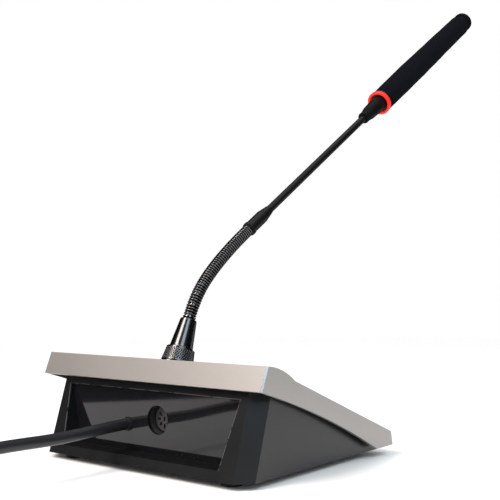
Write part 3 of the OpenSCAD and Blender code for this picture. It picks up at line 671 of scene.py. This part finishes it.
def plug_profile():
    """A grooved boot that widens into the grip and the open nose."""
    boot = [(0, 0), (3.3, 0)]
    for i in range(5):
        z = 3 + 3.6 * i
        r = 3.35 + 2.1 * z / 22
        boot += [(r, z), (r - 0.5, z + 0.5), (r - 0.45, z + 1.6), (r + 0.22, z + 2.1)]
    return boot + [(5.5, 21.4), (5.6, 22), (7.6, 22.4), (8.5, 24.2), (8.5, 28), (8.1, 28.5), (8.1, 41.2),
                   (8.5, 41.8), (8.5, 47.2), (7.9, 48), (6.62, 48), (6.62, 30)]


def plug_ridges(count=20):
    parts = []
    ridge = [(8.0, -0.5), (8.46, -0.28), (8.46, 0.28), (8.0, 0.5)]
    for k in range(count):
        a = 2 * pi * k / count
        parts.append(capped([
            [(x * cos(a) - y * sin(a), x * sin(a) + y * cos(a), z) for x, y in ridge]
            for z in (28.9, 29.4, 40.2, 40.8)]))
    return several(*parts)


plug = make("lead_plug", several(turned(soften(plug_profile(), 0.4), 48), plug_ridges()), "plug", "base",
            ("plug_body",), ON_PLUG, slot="black_parts")


# Lock sleeve: knurled ring and gloss cone
def knurled(teeth=40, depth=0.55, rows=43):
    """The ring's skin with crossed ridges round small pits, from its foot to its top."""
    foot, top = 4.5, 10.8
    low_r, high_r, low, high = 16.7 / 2, 14.4 / 2, 3.7, 11.6
    ridge_share = 0.4
    sides = teeth * 10

    def wave(t):
        return abs((t % 1.0) * 2 - 1)

    out = []
    for i in range(rows):
        z = foot + (top - foot) * i / (rows - 1)
        base = low_r + (high_r - low_r) * (z - low) / (high - low)
        fade = min(1, 12 * min(i, rows - 1 - i) / (rows - 1))
        ring = []
        for j in range(sides):
            a = j / sides
            pit = min(wave(a * teeth + 0.5 * (z - foot)), wave(a * teeth - 0.5 * (z - foot)))
            r = base - depth * fade * max(0, pit - ridge_share) / (1 - ridge_share)
            ring.append((r * cos(2 * pi * a), r * sin(2 * pi * a), z))
        out.append(ring)
    return out


def sleeve_part():
    rings = knurled()
    sides = len(rings[0])
    below = [(6.8, 7.8), (6.8, 3.75), (7.9, 3.7), (8.2, 3.9), (8.24, 4.3)]
    above = soften([(7.3, 10.95), (7.24, 11.5), (6.9, 11.75), (6.1, 11.75), (5.95, 12.2), (4.3, 26.5),
                    (4.18, SLEEVE_TOP), (3.38, SLEEVE_TOP), (3.38, 12)], 0.22, 3)
    return loft([circle(r, z, sides) for r, z in below] + rings + [circle(r, z, sides) for r, z in above])


make("lock_sleeve_dress", sleeve_part(), "sleeve", "sleeve", ("lock_sleeve",), on_plate(MIC_V), sharp=50,
     slot="gloss_black")


# Gooseneck: ribs on each link, and the ball that the next link turns on
def rib_profile(steps=5):
    """Ribs with rounded crests and sharp grooves between them."""
    rim_r, groove_r, crest_r = 3.0, 2.62, 3.37
    crest_fall, crest_half, roundness = 0.27, 0.36, 2.6
    line = [(2.52, LINK_GAP), (rim_r, LINK_GAP)]
    for i in range(LINK_RIBS):
        z = (i + 0.5) * RIB_PITCH
        for k in range(-steps, steps + 1):
            t = k / steps
            line.append((crest_r - crest_fall * abs(t) ** roundness, z + crest_half * t))
        line.append((groove_r, z + RIB_PITCH / 2))
    end = LINK_L - LINK_GAP
    return line[:-1] + [(rim_r, end), (2.3, end)]


def link_part():
    ball = [(BALL_R * cos(radians(a)), LINK_L + BALL_R * sin(radians(a))) for a in range(-8, 70, 8)]
    neck = [(2.2, LINK_L - 0.5)] + ball + [(0.9, LINK_L + 2.33)]
    return several(turned(rib_profile(), 48), turned(neck, 48))


for k in range(1, LINKS + 1):
    make(f"neck_ribs_{k}", link_part(), "neck", f"link_{k}", (f"neck_link_{k}",), NECK[k - 1],
         slot="black_metal")


# Ferrule, head cone, ring, windscreen, end cap
make("ferrule_dress", turned(soften(
    [(2.5, LINK_GAP), (3.08, LINK_GAP), (3.08, 1.0), (4.0, 1.0), (4.0, 2.8), (3.65, 2.9), (3.65, 15.3),
     (3.45, 16.1), (2.62, 22.1), (2.54, 22.5), (2.3, 22.5), (2.3, 13)], 0.22), 56),
    "paint", "head", ("neck_ferrule",), HEAD, slot="black_metal")
make("head_cone_dress", turned(soften(
    [(2.3, 146), (2.3, 142), (3.8, 142), (3.8, 143.5), (3.5, 143.65), (3.7, 145), (4.55, 150), (5.3, 163.6),
     (5.4, 165), (4.9, 165), (4.9, 173)], 0.28), 56),
    "alloy", "head", ("head_cone",), HEAD, slot="black_alloy")
make("light_ring_dress", turned(soften(
    [(6.45, 165.9), (6.45, 164.6), (8.1, 164.6), (8.1, 167.4), (6.45, 167.4), (6.45, 165.9)], 0.6, 6), 72),
    "ring", "head", ("light_ring",), HEAD, slot="red_light")


def foam_part(sides=64, step=3):
    """A long foam sleeve: soft shoulders and a slightly uneven skin."""
    line = soften([(5.65, 180), (5.65, 169.9), (6.7, 169.75), (7.65, 170.8), (7.78, 178), (8.05, 205),
                   (8.05, 226), (7.85, 256), (7.55, 306), (7.5, 307.2), (6.5, 308.4), (5.65, 308.3),
                   (5.65, 300)], 0.9, 5)
    dense = [line[0]]
    for (r0, z0), (r1, z1) in zip(line, line[1:]):
        n = max(1, int(abs(z1 - z0) / step))
        dense += [(r0 + (r1 - r0) * i / n, z0 + (z1 - z0) * i / n) for i in range(1, n + 1)]

    def uneven(a, z):
        return (0.05 * sin(3 * a + 0.11 * z) + 0.04 * sin(5 * a - 0.23 * z + 1.3)
                + 0.03 * sin(0.41 * z + 2 * a))

    skin_r = 6.4
    rows = []
    for r, z in dense:
        row = []
        for j in range(sides):
            a = 2 * pi * j / sides
            rr = r + (uneven(a, z) if r > skin_r else 0)
            row.append((rr * cos(a), rr * sin(a), z))
        rows.append(row)
    return loft(rows)


foam = make("foam_windscreen", foam_part(), "foam", "head", ("windscreen",), HEAD, sharp=60,
            slot="black_foam")
make("end_cap_dress", turned(soften(
    [(4.9, 303), (4.9, 308.9), (5.7, 308.9), (5.7, 312.5), (7.0, 312.6), (7.2, 312.9), (7.2, 315.2),
     (6.7, 315.7), (3.6, 315.7), (3.2, 315.4), (0, 315.4)], 0.3), 64),
    "alloy", "head", ("end_cap",), HEAD, slot="black_alloy")


# Talk key: a crowned oblong on its flange
def oblong(length, width, z, n=16):
    r = width / 2
    out = []
    for s, start in ((1, -90), (-1, 90)):
        for i in range(n + 1):
            a = radians(start + 180 * i / n)
            out.append((s * (length / 2 - r) + r * cos(a), r * sin(a), z))
    return out


def key_part():
    """From the flange's foot up to the dished top, each ring as its length, width and height."""
    rings = [(37.2, 14.2, -3.5), (37.2, 14.2, -2.3), (34, 11, -2.3), (34, 11, 0.9), (33.6, 10.6, 1.35),
             (32.8, 9.8, 1.58), (30, 7, 1.5), (27, 4, 1.42), (24.2, 1.2, 1.38)]
    return capped([oblong(*ring) for ring in rings])


make("talk_key", key_part(), "key", "talk", ("talk_button",), on_plate(TALK_V), slot="grey_key")


# Loudspeaker: thin cloth pressed at its rim, a little slack behind the slots
cloth = make("grille_cloth", turned(soften(
    [(0, -2.16), (17.6, -2.12), (18.8, -2.02), (21.6, -2.02), (21.92, -2.12), (21.92, -2.28), (21.6, -2.38),
     (18.8, -2.38), (17.6, -2.46), (0, -2.5)], 0.12), 72),
    "cloth", "base", ("speaker_cloth",), on_plate(SPEAKER_V), slot="speaker_cloth")


# Under the case: feet and screws
foot_line = soften(
    [(0, 0.35), (3.4, 0.35), (3.9, 0.0), (4.5, 0.0), (4.9, 0.7), (5.0, FOOT_H), (0, FOOT_H)], 0.3)
make("feet", several(*[moved(turned(foot_line, 40), at(x, y, 0)) for x, y in FEET]), "rubber", "base",
     ("rubber_feet",), slot="rubber")


def cross_screw(sides=48):
    """A pan-head screw, its head facing up, with a crossed recess."""
    angles = [2 * pi * (j + 0.5) / sides for j in range(sides)]

    def ring(reach, z):
        return [(r * cos(a), r * sin(a), z) for r, a in zip(reach, angles)]

    def cross(arm, half):
        shares = [sorted((abs(cos(a)), abs(sin(a)))) for a in angles]
        return [min(arm / most, half / least) for least, most in shares]

    line = soften(
        [(0.8, -12.3), (1.25, -11.8), (1.25, 0), (2.95, 0), (2.95, 1.0), (2.5, 1.8), (1.9, 2.0)], 0.3)
    recess = [(1.6, 0.42, 2.0), (1.45, 0.34, 1.1), (0.7, 0.3, 0.7)]
    return capped([ring([r] * sides, z) for r, z in line]
                  + [ring(cross(arm, half), z) for arm, half, z in recess])


make("case_screw_heads", several(*[
    moved(cross_screw(), at(x, y, SCREW_SEAT) @ Matrix.Rotation(pi, 4, "X")) for x, y in SCREWS]),
    "steel", "base", ("case_screws",), slot="steel")


# Pieces whose solids show as they are
def dress(node, finish, bevel=0.0):
    """A CAD node with its finish, and a bevel of so many millimetres on its sharp edges."""
    made = cad[node]
    made.data.materials.clear()
    made.data.materials.append(finishes[finish].material)
    if bevel:
        soft = made.modifiers.new("edge", "BEVEL")
        soft.width = bevel * MM
        soft.segments = 2
        soft.limit_method = "ANGLE"
        soft.angle_limit = radians(32)


dress("top_cover", "aluminium", 0.2)
dress("base_shell", "case", 0.3)
dress("rear_panel", "panel", 0.15)
for node, finish in {
    "ballast_plate": "steel", "board_screws": "steel", "speaker_basket": "steel", "speaker_magnet": "steel",
    "main_board": "board", "switch_board": "board", "light_board": "insert", "board_parts": "insert",
    "socket_shell": "insert", "socket_insert": "socket", "socket_contacts": "dull", "cable_gland": "jacket",
    "plug_shield": "plated", "plug_insert": "insert", "plug_pins": "gold", "speaker_cone": "cloth",
    "talk_switch": "insert", "switch_plunger": "ivory", "mic_socket": "neck", "mic_socket_nut": "plated",
    "mic_socket_insert": "insert", "mic_plug": "neck", "mic_plug_pins": "gold", "stem_tube": "paint",
    "head_tube": "paint", "capsule": "plated",
}.items():
    dress(node, finish)


# Studio: a pale floor that fades into a white surround, three soft lamps, and dark cloths for the gloss
def make_stage(name, part, finish):
    mesh = bpy.data.meshes.new(name)
    mesh.from_pydata(part[0], [], part[1])
    mesh.materials.append(finish.material)
    made = bpy.data.objects.new(name, mesh)
    bpy.context.collection.objects.link(made)
    return made


def sheet_of(corners, z):
    return [(x, y, z) for x, y in corners], [(0, 1, 2, 3)]


def make_floor():
    """A pale table top that fades into the surround, and is clear from below."""
    f = Finish("floor", Roughness=0.9, Specular_IOR_Level=0.1)
    f.set("Base Color", (0.93, 0.93, 0.93))
    x, y, _ = f.axes()
    far = (((x * x + y * y).power(0.5) - FADE_START) / FADE_WIDTH).larger(0).smaller(1)
    below = f.node("ShaderNodeNewGeometry", out="Backfacing")
    pale = Value(f, f.shader.outputs[0])
    clear = f.node("ShaderNodeBsdfTransparent")
    fading = f.node("ShaderNodeMixShader", (), {0: far.larger(below), 1: pale, 2: clear})
    f.feed(f.tree.nodes["Material Output"].inputs["Surface"], fading)
    d = FLOOR_HALF
    make_stage("floor", sheet_of([(-d, -d), (d, -d), (d, d), (-d, d)], 0), f)


def make_cloth(name, part):
    """Dark cloth beside the set, seen only in reflections."""
    f = Finish(name, Roughness=1.0, Specular_IOR_Level=0.0)
    f.set("Base Color", (0.02, 0.021, 0.023))
    cloth = make_stage(name, part, f)
    cloth.visible_camera = False
    cloth.visible_diffuse = False
    cloth.visible_shadow = False
    cloth.visible_transmission = False


def make_cloths():
    make_cloth("cloth_ring", loft([circle(CLOTH_REACH, z, 48) for z in (0.02, 3.4)]))
    near, far, half = 0.27, CLOTH_REACH, 2.0
    out, along = Vector((0.767, 0.642)), Vector((-0.642, 0.767))
    corners = [out * d + along * w for d, w in ((near, -half), (far, -half), (far, half), (near, half))]
    make_cloth("cloth_on_table", sheet_of(corners, CLOTH_LIFT))
    left, back = -0.1, -0.125
    corners = [(left, -far), (far, -far), (far, back), (left, back)]
    make_cloth("cloth_in_front", sheet_of(corners, CLOTH_LIFT))


def make_lamp(name, spot, aim, size, power, colour):
    light = bpy.data.lights.new(name, "AREA")
    light.shape = "RECTANGLE"
    light.size, light.size_y = size
    light.energy = power
    light.color = colour
    lamp = bpy.data.objects.new(name, light)
    lamp.location = spot
    lamp.rotation_euler = (Vector(aim) - Vector(spot)).to_track_quat("-Z", "Y").to_euler()
    bpy.context.collection.objects.link(lamp)


def make_world():
    """White to look at and in reflections, a little dimmer as a light."""
    world = bpy.data.worlds.new("surround")
    world.use_nodes = True
    w = Nodes(world.node_tree)
    ray = w.node("ShaderNodeLightPath", out="Is Camera Ray")
    seen = ray.larger(ray.other("Is Glossy Ray"))
    background = w.tree.nodes["Background"]
    w.feed(background.inputs["Color"], (1.0, 1.0, 1.0))
    w.feed(background.inputs["Strength"], seen * (1 - WORLD_LIGHT) + WORLD_LIGHT)
    bpy.context.scene.world = world


make_floor()
make_cloths()
make_world()
for lamp in LAMPS:
    make_lamp(*lamp)
bpy.context.scene.view_settings.view_transform = "Standard"
